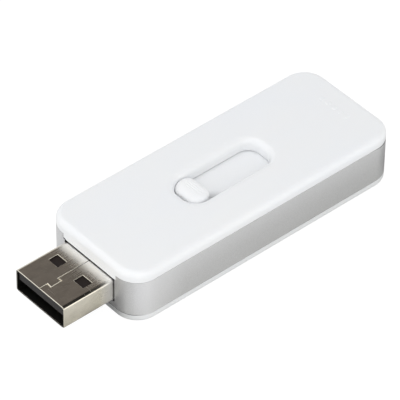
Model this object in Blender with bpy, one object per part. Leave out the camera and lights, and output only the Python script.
"""Pocket wifi adapter whose connector slides out of a flat housing. Metres, +Z up.

Origin: centre of the underside. X runs across the housing, Y along it, and the plug points to -Y,
which is the front. Modelled at rest with the connector out. The carriage parts move together
along +Y by TRAVEL. Dimensions below are in millimetres. Small literals added to the ends of a
boolean tool only make it overshoot the surface it cuts or overlap the body it joins.
"""

import itertools
import math

import bmesh
import bpy

MM = 0.001

# housing
HALF_W = 22.2 / 2
HALF_L = 56.8 / 2
BODY_H = 10.4
CORNER_R = 4.3
TOP_SPLIT = 8.4
BOTTOM_SPLIT = 1.3
TOP_FILLET = 1.15
BOTTOM_FILLET = 0.6
WALL = 0.9
SEAM = 0.05
LIP = 0.65
LIP_GAP = 0.08
CEILING = 9.2
FLOOR = 1.0
LIP_INSET = WALL + LIP_GAP
INNER_HALF_L = HALF_L - WALL
LIP_HALF_L = HALF_L - LIP_INSET

# corner pins of the top cover and the bosses of the bottom cover that take them
PIN_PLACES = tuple((x, y) for x in (-8.4, 8.4) for y in (-25.4, 25.4))
PIN_R = 0.62
PIN_Z0 = 2.6
BOSS_R = 1.02
BOSS_TOP = 5.0
BOSS_HOLE_R = 0.68
BOSS_HOLE_Z0 = 2.4

# thumb slot in the top cover
SLOT_HALF_W = 3.2
SLOT_Y0 = -9.0
SLOT_Y1 = 8.6
SLOT_R = 2.4
RIM_R = 1.2
COLLAR = 0.85
COLLAR_Z = 8.15

# front mouth in the band, closed above by an apron of the top cover
MOUTH_HALF_W = 6.25
MOUTH_Z0 = 2.5
MOUTH_Z1 = 7.4
MOUTH_R = 0.15
APRON_HALF_W = 6.5

# plug, standard type A
PLUG_HALF_W = 12.0 / 2
PLUG_HALF_H = 4.5 / 2
PLUG_ZC = 4.95
PLUG_TIP = -38.6
PLUG_REAR = -19.9
SHEET = 0.3
PLUG_R = 0.5
TIP_BEVEL = 0.09
WINDOW_X = (1.95, 4.38)
WINDOW_Y = (-33.3, -31.35)
TAB_REAR = -17.7
TAB_Z = (3.5, 5.5)
TONGUE_H = 1.84
INSULATOR_HALF_W = 5.62
INSULATOR_REAR = -20.1
TONGUE_FRONT = -38.3
BLOCK_FRONT = -27.4
INSULATOR_GAP = 0.04
CONTACT_W = 1.0
CONTACT_T = 0.2
CONTACT_REAR = -18.0
CONTACT_GAP = 0.04
# name, x, front end
CONTACTS = (
    ("contact_vbus", -3.5, -37.5),
    ("contact_dminus", -1.0, -36.5),
    ("contact_dplus", 1.0, -36.5),
    ("contact_gnd", 3.5, -37.5),
)

# shell seam: centre line (x, y) from the tip to the rear, with its interlocking tab
SEAM_LINE = (
    (-0.1, PLUG_TIP - 0.4), (-0.1, -36.95), (0.9, -37.05),
    (0.82, -34.75), (0.0, -34.85), (0.0, PLUG_REAR + 0.4),
)
SEAM_HALF_W = 0.045
SEAM_DEPTH = 0.16

# carriage
TRAVEL = 12.9
TRAY_HALF_W = 7.2
TRAY_WALL = 0.7
TRAY_INNER = TRAY_HALF_W - TRAY_WALL
TRAY_Y0 = -26.3
TRAY_Y1 = 13.3
TRAY_Z0 = 1.75
TRAY_FLOOR_Z = 2.6
TRAY_Z1 = 7.32
CRADLE_GAP = 0.05
CROSS_BAR_Z0 = 6.95
PLATE_Z0 = 7.4
PLATE_Z1 = 8.02
PLATE_HALF_W = 7.0
PLATE_Y = (-22.2, 10.3)
PEGS = ((-6.6, -20.8), (6.6, -20.8), (-5.9, 8.6), (5.9, 8.6))
PEG_R = 0.3
PEG_HOLE_R = 0.36

# thumb knob
KNOB_Y = -6.55
KNOB_HALF_L = 3.7 / 2
KNOB_HALF_W = 3.08
KNOB_R = 1.8
KNOB_Z0 = PLATE_Z1 + 0.06
KNOB_TOP = 10.0
SKIRT_TOP = 9.15
SKIRT_Y0 = -8.75
STEM_HALF_W = 1.9
STEM_HALF_L = 1.3
STEM_GAP = 0.05
GROOVE_PITCH = 0.55
GROOVE_HALF_L = 0.1
GROOVE_DEPTH = 0.06
# crown: depth below the knob's top, inset of the outline
KNOB_CROWN = (
    (0.36, 0.0), (0.24, 0.02), (0.14, 0.07), (0.07, 0.15), (0.02, 0.27), (0.0, 0.45),
)

# guide rails, runners and detent
RAIL_X = (7.35, 8.05)
RAIL_HALF_L = 24.0
RAIL_TOP = 6.4
RUNNER_X = (3.0, 3.7)
RUNNER_Y = (-25.2, 25.6)
RUNNER_GAP = 0.1
DETENT_Y = 0.0
DETENT_R = 0.95
DETENT_X = RAIL_X[0] - 0.55
DETENT_Z0 = 4.6
LEAF_HALF_L = 5.0
LEAF_X0 = TRAY_HALF_W - 0.43
LEAF_BOW = 0.36
LEAF_T = 0.14
LEAF_Z = (5.15, 6.35)
LEAF_STEPS = 24
RECESS_DEPTH = 0.45
RECESS_HALF_L = 5.2

# circuit board
BOARD_HALF_W = 6.2
BOARD_Y0 = -19.6
BOARD_Y1 = 12.9
BOARD_T = 1.0
SOLDER = 0.04
TONGUE_TOP = PLUG_ZC + PLUG_HALF_H - SHEET - INSULATOR_GAP
TONGUE_UNDER = TONGUE_TOP - TONGUE_H
CONTACT_Z0 = TONGUE_UNDER - 0.12
BOARD_TOP = CONTACT_Z0 - SOLDER
BOARD_UNDER = BOARD_TOP - BOARD_T
SEAT = BOARD_TOP + SOLDER

for old in list(bpy.data.objects):
    bpy.data.objects.remove(old, do_unlink=True)

parts = bpy.data.collections.new("usb_wifi_adapter")
bpy.context.scene.collection.children.link(parts)
cutters = bpy.data.collections.new("cutters")
bpy.context.scene.collection.children.link(cutters)


# ---- materials
def material(name, colour, roughness, metallic=0.0):
    made = bpy.data.materials.new(name)
    made.use_nodes = True
    shader = made.node_tree.nodes["Principled BSDF"]
    shader.inputs["Base Color"].default_value = (*colour, 1.0)
    shader.inputs["Roughness"].default_value = roughness
    shader.inputs["Metallic"].default_value = metallic
    return made


white = material("white_plastic", colour=(0.86, 0.87, 0.88), roughness=0.32)
white_knob = material("white_knob_plastic", colour=(0.88, 0.88, 0.89), roughness=0.35)
silver = material("silver_paint", colour=(0.62, 0.62, 0.63), roughness=0.34, metallic=0.6)
tray_plastic = material("tray_plastic", colour=(0.07, 0.07, 0.075), roughness=0.5)
spring_steel = material("spring_steel", colour=(0.6, 0.6, 0.6), roughness=0.3, metallic=1.0)
steel = material("plug_steel", colour=(0.58, 0.56, 0.53), roughness=0.3, metallic=1.0)
insulator_plastic = material("insulator_plastic", colour=(0.05, 0.05, 0.052), roughness=0.5)
gold = material("contact_gold", colour=(0.83, 0.62, 0.28), roughness=0.28, metallic=1.0)
board_mask = material("board_mask", colour=(0.02, 0.16, 0.07), roughness=0.4)
chip_epoxy = material("chip_epoxy", colour=(0.03, 0.03, 0.032), roughness=0.55)
tin = material("tinned_metal", colour=(0.68, 0.68, 0.67), roughness=0.32, metallic=1.0)
ferrite = material("ferrite", colour=(0.09, 0.085, 0.08), roughness=0.6)
ceramic_tan = material("ceramic_tan", colour=(0.55, 0.42, 0.28), roughness=0.55)
ceramic_white = material("ceramic_white", colour=(0.8, 0.8, 0.77), roughness=0.5)


# ---- shapes, in millimetres
def around(centre, half):
    return centre - half, centre + half


def quarter_turn(steps):
    return [math.radians(90 * i / steps) for i in range(steps + 1)]


def outline(cx, cy, half_x, half_y, radius, steps):
    """Rounded rectangle, anticlockwise, steps segments to a corner."""
    points = []
    for side_x, side_y, start in ((1, 1, 0), (-1, 1, 90), (-1, -1, 180), (1, -1, 270)):
        for i in range(steps + 1):
            angle = math.radians(start + 90 * i / steps)
            x = cx + side_x * (half_x - radius) + radius * math.cos(angle)
            y = cy + side_y * (half_y - radius) + radius * math.sin(angle)
            points.append((x, y))
    return points


def body_outline(inset, steps):
    """The housing's plan outline, moved inwards by inset."""
    return outline(0, 0, HALF_W - inset, HALF_L - inset, CORNER_R - inset, steps)


def plug_outline(inset):
    """The plug's section in XZ, moved inwards by inset."""
    return outline(0, PLUG_ZC, PLUG_HALF_W - inset, PLUG_HALF_H - inset, PLUG_R - inset, 5)


def loft(rings, axis="Z"):
    """A closed body through rings, each (height, points) with the same number of points."""
    made = bmesh.new()
    layers = []
    for height, points in rings:
        if axis == "Z":
            layers.append([made.verts.new((x, y, height)) for x, y in points])
        else:
            layers.append([made.verts.new((x, height, z)) for x, z in points])
    for low, high in zip(layers, layers[1:]):
        bridge(made, low, high)
    made.faces.new(list(reversed(layers[0])))
    made.faces.new(layers[-1])
    return made


def bridge(mesh, low, high):
    """Side faces between two closed rings of vertices."""
    for i in range(len(low)):
        j = (i + 1) % len(low)
        mesh.faces.new((low[i], low[j], high[j], high[i]))


def prism(points, start, end, axis="Z"):
    return loft([(start, points), (end, points)], axis)


def box(x_span, y_span, z_span):
    """A box; x_span may be given in either order, so it can be mirrored."""
    made = bmesh.new()
    bmesh.ops.create_cube(made, size=1.0)
    x_span = sorted(x_span)
    for vertex in made.verts:
        vertex.co.x = x_span[vertex.co.x > 0]
        vertex.co.y = y_span[vertex.co.y > 0]
        vertex.co.z = z_span[vertex.co.z > 0]
    return made


def rounded_box(x_span, y_span, z_span, radius, steps):
    """A box with rounded upright edges."""
    (x0, x1), (y0, y1) = x_span, y_span
    cx, cy = (x0 + x1) / 2, (y0 + y1) / 2
    return prism(outline(cx, cy, (x1 - x0) / 2, (y1 - y0) / 2, radius, steps), *z_span)


def post(x, y, radius, z0, z1, steps):
    angles = [2 * math.pi * i / steps for i in range(steps)]
    ring = [(x + radius * math.cos(a), y + radius * math.sin(a)) for a in angles]
    return prism(ring, z0, z1)


# ---- objects and booleans
def place(name, mesh, collection):
    """The mesh, given in millimetres, as a named object in metres."""
    data = bpy.data.meshes.new(name)
    for vertex in mesh.verts:
        vertex.co *= MM
    bmesh.ops.recalc_face_normals(mesh, faces=mesh.faces)
    mesh.to_mesh(data)
    mesh.free()
    made = bpy.data.objects.new(name, data)
    collection.objects.link(made)
    return made


def solid(name, mesh, look):
    made = place(name, mesh, parts)
    made.data.materials.append(look)
    return made


def carriage_part(name, mesh, look):
    """A solid parented to the carriage, keeping its place."""
    made = solid(name, mesh, look)
    made.parent = carriage
    made.matrix_parent_inverse = carriage.matrix_basis.inverted()
    return made


tool_numbers = itertools.count(1)


def boolean(target, mesh, how):
    number = next(tool_numbers)
    tool = place(f"cutter_{number:03d}", mesh, cutters)
    tool.hide_render = True
    tool.display_type = "WIRE"
    step = target.modifiers.new(f"{how.lower()}_{number:03d}", "BOOLEAN")
    step.operation = how
    step.solver = "EXACT"
    step.object = tool


def cut(target, mesh):
    boolean(target, mesh, "DIFFERENCE")


def join(target, mesh):
    boolean(target, mesh, "UNION")


def smooth(target, angle):
    for face in target.data.polygons:
        face.use_smooth = True
    target.data.set_sharp_from_angle(angle=math.radians(angle))


# ---- housing
def thumb_slot():
    """Cutter for the slot, flaring at the top into a rounded rim."""
    yc = (SLOT_Y0 + SLOT_Y1) / 2
    half_l = (SLOT_Y1 - SLOT_Y0) / 2

    def ring(grow):
        return outline(0, yc, SLOT_HALF_W + grow, half_l + grow, SLOT_R + grow, 7)

    rings = [(COLLAR_Z - 0.5, ring(0))]
    for angle in quarter_turn(6):
        height = BODY_H - RIM_R + RIM_R * math.sin(angle)
        rings.append((height, ring(RIM_R * (1 - math.cos(angle)))))
    rings.append((BODY_H + 0.5, rings[-1][1]))
    return loft(rings)


def build_top_cover():
    """Rounded upper edge, ceiling, lip, apron over the mouth, slot collar and corner pins."""
    rings = [(TOP_SPLIT + SEAM, body_outline(0, 8))]
    for angle in quarter_turn(6):
        inset = TOP_FILLET * (1 - math.cos(angle))
        height = BODY_H - TOP_FILLET + TOP_FILLET * math.sin(angle)
        rings.append((height, body_outline(inset, 8)))
    cover = solid("top_cover", loft(rings), white)
    cut(cover, prism(body_outline(WALL, 6), TOP_SPLIT - 1.0, CEILING))
    join(cover, prism(body_outline(LIP_INSET, 6), TOP_SPLIT - 0.75, CEILING + 0.3))
    cut(cover, prism(body_outline(LIP_INSET + LIP, 6), TOP_SPLIT - 1.2, CEILING))
    join(cover, box(
        around(0, APRON_HALF_W), (-HALF_L, -LIP_HALF_L + 0.3), (MOUTH_Z1, TOP_SPLIT + SEAM + 0.3)
    ))
    join(cover, rounded_box(
        around(0, SLOT_HALF_W + COLLAR), (SLOT_Y0 - COLLAR, SLOT_Y1 + COLLAR),
        (COLLAR_Z, CEILING + 0.2), SLOT_R + COLLAR, 6,
    ))
    for x, y in PIN_PLACES:
        join(cover, post(x, y, PIN_R, PIN_Z0, CEILING + 0.3, 14))
    cut(cover, thumb_slot())
    smooth(cover, 35)


def build_side_band():
    """A ring with the front mouth, notched above it for the top cover's apron."""
    ring = prism(body_outline(0, 8), BOTTOM_SPLIT + SEAM, TOP_SPLIT)
    band = solid("side_band", ring, silver)
    cut(band, prism(body_outline(WALL, 6), BOTTOM_SPLIT - 0.5, TOP_SPLIT + 0.5))
    mouth_zc = (MOUTH_Z0 + MOUTH_Z1) / 2
    mouth = outline(0, mouth_zc, MOUTH_HALF_W, (MOUTH_Z1 - MOUTH_Z0) / 2, MOUTH_R, 4)
    cut(band, prism(mouth, -HALF_L - 0.6, -INNER_HALF_L + 0.6, axis="Y"))
    cut(band, box(
        around(0, APRON_HALF_W + SEAM), (-HALF_L - 0.5, -INNER_HALF_L + 0.5),
        (MOUTH_Z1 - SEAM, TOP_SPLIT + 0.5),
    ))
    smooth(band, 35)


def build_bottom_cover():
    """Rounded lower edge, lip, guide rails, runners, corner bosses and two detent notches."""
    rings = []
    for angle in quarter_turn(4):
        inset = BOTTOM_FILLET * (1 - math.sin(angle))
        height = BOTTOM_FILLET * (1 - math.cos(angle))
        rings.append((height, body_outline(inset, 8)))
    rings.append((BOTTOM_SPLIT, body_outline(0, 8)))
    cover = solid("bottom_cover", loft(rings), white)
    foot = FLOOR - 0.2
    join(cover, prism(body_outline(LIP_INSET, 6), foot, BOTTOM_SPLIT + 0.85))
    cut(cover, prism(body_outline(LIP_INSET + LIP, 6), FLOOR, BOTTOM_SPLIT + 1.5))
    for side in (-1, 1):
        rail_x = [side * x for x in RAIL_X]
        join(cover, box(rail_x, around(0, RAIL_HALF_L), (foot, RAIL_TOP)))
        runner_x = [side * x for x in RUNNER_X]
        join(cover, box(runner_x, RUNNER_Y, (foot, TRAY_Z0 - RUNNER_GAP)))
    for x, y in PIN_PLACES:
        join(cover, post(x, y, BOSS_R, foot, BOSS_TOP, 16))
    for x, y in PIN_PLACES:
        cut(cover, post(x, y, BOSS_HOLE_R, BOSS_HOLE_Z0, BOSS_TOP + 0.6, 14))
    for y in (DETENT_Y, DETENT_Y + TRAVEL):
        cut(cover, post(DETENT_X, y, DETENT_R, DETENT_Z0, RAIL_TOP + 0.4, 16))
    smooth(cover, 35)


# ---- carriage
def build_carriage_axis():
    axis = bpy.data.objects.new("carriage_axis", None)
    axis.location = (0.0, KNOB_Y * MM, PLUG_ZC * MM)
    parts.objects.link(axis)
    return axis


def build_slider_knob():
    """Crowned body with finger grooves, a low skirt reaching forwards and a stem below."""

    def ring(inset):
        half_w, half_l = KNOB_HALF_W - inset, KNOB_HALF_L - inset
        return outline(0, KNOB_Y, half_w, half_l, KNOB_R - inset, 8)

    rings = [(KNOB_Z0, ring(0.0))]
    rings += [(KNOB_TOP - depth, ring(inset)) for depth, inset in KNOB_CROWN]
    knob = carriage_part("slider_knob", loft(rings), white_knob)
    join(knob, rounded_box(
        around(0, KNOB_HALF_W), (SKIRT_Y0, KNOB_Y + KNOB_HALF_L), (KNOB_Z0, SKIRT_TOP), KNOB_R, 8
    ))
    join(knob, rounded_box(
        around(0, STEM_HALF_W), around(KNOB_Y, STEM_HALF_L),
        (PLATE_Z0 - 0.7, PLATE_Z1 + 0.6), 0.4, 3,
    ))
    for k in (-1, 0, 1):
        groove_y = around(KNOB_Y + GROOVE_PITCH * k, GROOVE_HALF_L)
        cut(knob, box(around(0, 1.7), groove_y, (KNOB_TOP - GROOVE_DEPTH, KNOB_TOP + 0.3)))


def build_slide_plate():
    """Strip that closes the slot from below, pegged to the tray, with a hole for the stem."""
    strip = rounded_box(around(0, PLATE_HALF_W), PLATE_Y, (PLATE_Z0, PLATE_Z1), 0.8, 4)
    plate = carriage_part("slide_plate", strip, white)
    cut(plate, rounded_box(
        around(0, STEM_HALF_W + STEM_GAP), around(KNOB_Y, STEM_HALF_L + STEM_GAP),
        (PLATE_Z0 - 0.5, PLATE_Z1 + 0.5), 0.42, 3,
    ))
    for x, y in PEGS:
        join(plate, post(x, y, PEG_R, TRAY_Z1 - 1.0, PLATE_Z0 + 0.3, 12))


def build_tray():
    """Floor and walls, plug cradle, board ledges, peg holes, cross bars and spring recess."""
    block = rounded_box(
        around(0, TRAY_HALF_W), (TRAY_Y0, TRAY_Y1), (TRAY_Z0, TRAY_Z1), 0.6, 3
    )
    tray = carriage_part("carriage_tray", block, tray_plastic)
    cut(tray, box(
        around(0, TRAY_INNER), (TRAY_Y0 + 7.0, TRAY_Y1 - 0.3), (TRAY_FLOOR_Z, TRAY_Z1 + 1)
    ))
    cut(tray, box(
        around(0, PLUG_HALF_W + CRADLE_GAP), (TRAY_Y0 - 1, TRAY_Y0 + 7.5),
        (PLUG_ZC - PLUG_HALF_H - CRADLE_GAP, TRAY_Z1 + 1),
    ))
    wall_x = TRAY_INNER + 0.2
    # board ledges
    for side in (-1, 1):
        join(tray, box(
            (side * (BOARD_HALF_W - 0.7), side * wall_x), (-17.0, TRAY_Y1 - 0.2),
            (TRAY_FLOOR_Z - 0.2, BOARD_UNDER - SOLDER),
        ))
    # blocks for the rear pegs
    for side in (-1, 1):
        join(tray, box((side * 5.4, side * wall_x), (7.7, 9.5), (5.9, TRAY_Z1)))
    for x, y in PEGS:
        cut(tray, post(x, y, PEG_HOLE_R, TRAY_Z1 - 1.15, TRAY_Z1 + 0.5, 12))
    # cross bars in front of the stem and behind it
    for bar_y in ((KNOB_Y - 2.2, KNOB_Y - 1.45), (KNOB_Y + 1.45, KNOB_Y + 2.2)):
        join(tray, box(around(0, wall_x), bar_y, (CROSS_BAR_Z0, TRAY_Z1)))
    cut(tray, box(
        (TRAY_HALF_W - RECESS_DEPTH, TRAY_HALF_W + 0.5), around(0, RECESS_HALF_L),
        (5.0, TRAY_Z1 + 0.5),
    ))


def build_detent_spring():
    """Leaf in the recess of the tray's +X wall, bowed towards the rail."""
    leaf = bmesh.new()
    inner_line, outer_line = [], []
    for i in range(LEAF_STEPS + 1):
        t = -1 + 2 * i / LEAF_STEPS
        bow = 0.5 * (1 + math.cos(math.pi * t))
        x = LEAF_X0 + LEAF_BOW * bow
        y = DETENT_Y + LEAF_HALF_L * t
        inner_line.append((x, y))
        outer_line.append((x + LEAF_T, y))
    points = inner_line + outer_line[::-1]
    low, high = [[leaf.verts.new((x, y, z)) for x, y in points] for z in LEAF_Z]
    bridge(leaf, low, high)
    last = len(points) - 1
    for layer in (low, high):
        for i in range(LEAF_STEPS):
            leaf.faces.new((layer[i], layer[i + 1], layer[last - 1 - i], layer[last - i]))
    carriage_part("detent_spring", leaf, spring_steel)


# ---- plug
def seam_segment(start, end):
    """Straight groove in the shell's upper face, lengthened by its half width at both ends."""
    (xa, ya), (xb, yb) = start, end
    dx, dy = xb - xa, yb - ya
    run = math.hypot(dx, dy)
    ux, uy = dx / run * SEAM_HALF_W, dy / run * SEAM_HALF_W
    corners = [
        (xa - ux - uy, ya - uy + ux),
        (xa - ux + uy, ya - uy - ux),
        (xb + ux + uy, yb + uy - ux),
        (xb + ux - uy, yb + uy + ux),
    ]
    top = PLUG_ZC + PLUG_HALF_H
    return prism(corners, top - SEAM_DEPTH, top + 0.4)


def build_plug_shell():
    """Sheet tube with latch windows above and below, rear solder tabs and the seam on top."""
    rings = [
        (PLUG_TIP, plug_outline(TIP_BEVEL)),
        (PLUG_TIP + TIP_BEVEL, plug_outline(0)),
        (PLUG_REAR, plug_outline(0)),
    ]
    shell = carriage_part("plug_shell", loft(rings, axis="Y"), steel)
    cut(shell, prism(plug_outline(SHEET), PLUG_TIP - 0.5, PLUG_REAR + 0.5, axis="Y"))
    for side in (-1, 1):
        window_x = [side * x for x in WINDOW_X]
        cut(shell, box(window_x, WINDOW_Y, around(PLUG_ZC, PLUG_HALF_H + 0.5)))
        tab_x = (side * (PLUG_HALF_W - SHEET), side * PLUG_HALF_W)
        join(shell, box(tab_x, (PLUG_REAR - 0.3, TAB_REAR), TAB_Z))
    for start, end in zip(SEAM_LINE, SEAM_LINE[1:]):
        cut(shell, seam_segment(start, end))


def build_plug_insulator():
    """Rear block and a tongue near the shell's upper wall, grooved below for each contact."""
    x_span = around(0, INSULATOR_HALF_W)
    tongue = box(x_span, (TONGUE_FRONT, INSULATOR_REAR), (TONGUE_UNDER, TONGUE_TOP))
    insulator = carriage_part("plug_insulator", tongue, insulator_plastic)
    block_z = (PLUG_ZC - PLUG_HALF_H + SHEET + INSULATOR_GAP, TONGUE_TOP - 0.2)
    join(insulator, box(x_span, (BLOCK_FRONT, INSULATOR_REAR), block_z))
    for _, x, _ in CONTACTS:
        groove_x = around(x, CONTACT_W / 2 + CONTACT_GAP)
        cut(insulator, box(groove_x, (-37.8, -19.5), (TONGUE_UNDER - 0.2, TONGUE_UNDER + 0.13)))


def build_contacts():
    """Gilt strips, stepped on the underside at the front end."""
    for name, x, front in CONTACTS:
        z_span = (CONTACT_Z0, CONTACT_Z0 + CONTACT_T)
        bar = box(around(x, CONTACT_W / 2), (front, CONTACT_REAR), z_span)
        strip = carriage_part(name, bar, gold)
        step_z = (CONTACT_Z0 - 0.2, CONTACT_Z0 + 0.08)
        cut(strip, box(around(x, 1), (front - 0.5, front + 0.12), step_z))


# ---- circuit board and its parts; at is (x, y), size is (width, length, height)
def build_board():
    """Board notched at the front for the shell's solder tabs, with two holes at the rear."""
    slab = box(around(0, BOARD_HALF_W), (BOARD_Y0, BOARD_Y1), (BOARD_UNDER, BOARD_TOP))
    board = carriage_part("circuit_board", slab, board_mask)
    through = (BOARD_TOP - 1.5, BOARD_TOP + 0.5)
    for side in (-1, 1):
        cut(board, box((side * 5.6, side * 7.0), (BOARD_Y0 - 0.5, -17.4), through))
    for x in (-5.6, 5.6):
        cut(board, post(x, 11.6, 0.4, *through, 14))


def chip(name, at, size, look, radius=0.12):
    (x, y), (width, length, height) = at, size
    body = rounded_box(
        around(x, width / 2), around(y, length / 2), (SEAT, SEAT + height), radius, 2
    )
    return carriage_part(name, body, look)


def legged_chip(name, at, size, per_side, pitch, leg_w, reach, leg_h):
    """A chip with legs along its -X and +X sides."""
    made = chip(name, at, size, chip_epoxy, radius=0.15)
    (x, y), half_w = at, size[0] / 2
    for side in (-1, 1):
        for k in range(per_side):
            leg_y = y + (k - (per_side - 1) / 2) * pitch
            leg_x = (x + side * (half_w - 0.1), x + side * (half_w + reach))
            join(made, box(leg_x, around(leg_y, leg_w / 2), (SEAT, SEAT + leg_h)))


def two_ended(name, at, size, look):
    """A small part with raised end caps, its long side along X."""
    made = chip(name, at, size, look, radius=0.06)
    (x, y), (width, length, height) = at, size
    for side in (-1, 1):
        cap_x = (x + side * (width / 2 - 0.3 * width / 2), x + side * (width / 2 + 0.03))
        cap_z = (SEAT, SEAT + height + 0.04)
        join(made, box(cap_x, around(y, length / 2 + 0.03), cap_z))


WIFI_Y = -5.0
CAN_HALF = 4.6
CAN_H = 1.7
CAN_SHEET = 0.18
CAN_R = 0.5
INDUCTOR_AT = (-3.4, -12.8)


def build_wifi_chip():
    made = chip("wifi_chip", (0.0, WIFI_Y), (5.0, 5.0, 0.85), chip_epoxy)
    cut(made, post(-1.8, WIFI_Y - 1.8, 0.25, SEAT + 0.78, SEAT + 1.2, 12))


def build_shield_can():
    """Open-bottomed can over the wifi chip, with holes in its top except at the centre."""
    outer_y = around(WIFI_Y, CAN_HALF)
    body = rounded_box(around(0, CAN_HALF), outer_y, (SEAT, SEAT + CAN_H), CAN_R, 3)
    can = carriage_part("shield_can", body, tin)
    inner = CAN_HALF - CAN_SHEET
    cut(can, rounded_box(
        around(0, inner), around(WIFI_Y, inner),
        (SEAT - 0.5, SEAT + CAN_H - CAN_SHEET), CAN_R - CAN_SHEET, 3,
    ))
    for i in (-2, -1, 0, 1, 2):
        for j in (-1, 0, 1):
            if (i, j) != (0, 0):
                cut(can, post(1.6 * i, WIFI_Y + 3.2 * j, 0.28, SEAT + 1.2, SEAT + 2.0, 10))


def build_inductor():
    made = chip("power_inductor", INDUCTOR_AT, (3.0, 3.0, 1.5), ferrite, radius=0.5)
    cut(made, post(*INDUCTOR_AT, 0.8, SEAT + 1.42, SEAT + 2.0, 18))


# name, (x, y), (width, length, height), material
TWO_ENDED = (
    ("input_capacitor", (-0.1, -15.2), (2.0, 1.25, 1.1), ceramic_tan),
    ("output_capacitor", (0.0, -12.6), (2.0, 1.25, 1.1), ceramic_tan),
    ("decoupling_capacitor", (3.4, 5.4), (1.6, 0.8, 0.8), ceramic_tan),
    ("matching_capacitor", (-1.6, 8.0), (1.0, 0.5, 0.45), ceramic_tan),
    ("matching_inductor", (0.4, 8.0), (1.0, 0.5, 0.45), ceramic_white),
    ("chip_antenna", (0.0, 10.9), (7.0, 2.0, 0.9), ceramic_white),
)


def build_board_parts():
    build_wifi_chip()
    build_shield_can()
    chip("crystal", (3.0, 2.6), (3.2, 2.5, 0.75), tin, radius=0.3)
    legged_chip(
        "flash_memory", (-2.6, 3.6), (3.9, 4.9, 1.3),
        per_side=4, pitch=1.27, leg_w=0.42, reach=0.9, leg_h=0.25,
    )
    legged_chip(
        "voltage_regulator", (3.2, -12.4), (1.6, 2.9, 1.1),
        per_side=2, pitch=1.9, leg_w=0.45, reach=0.6, leg_h=0.2,
    )
    build_inductor()
    for row in TWO_ENDED:
        two_ended(*row)


# the order sets the numbers in the boolean tools' names
carriage = build_carriage_axis()
build_top_cover()
build_side_band()
build_bottom_cover()
build_slider_knob()
build_slide_plate()
build_tray()
build_detent_spring()
build_plug_shell()
build_plug_insulator()
build_contacts()
build_board()
build_board_parts()

for part in parts.objects:
    if part.parent == carriage:
        smooth(part, 30)
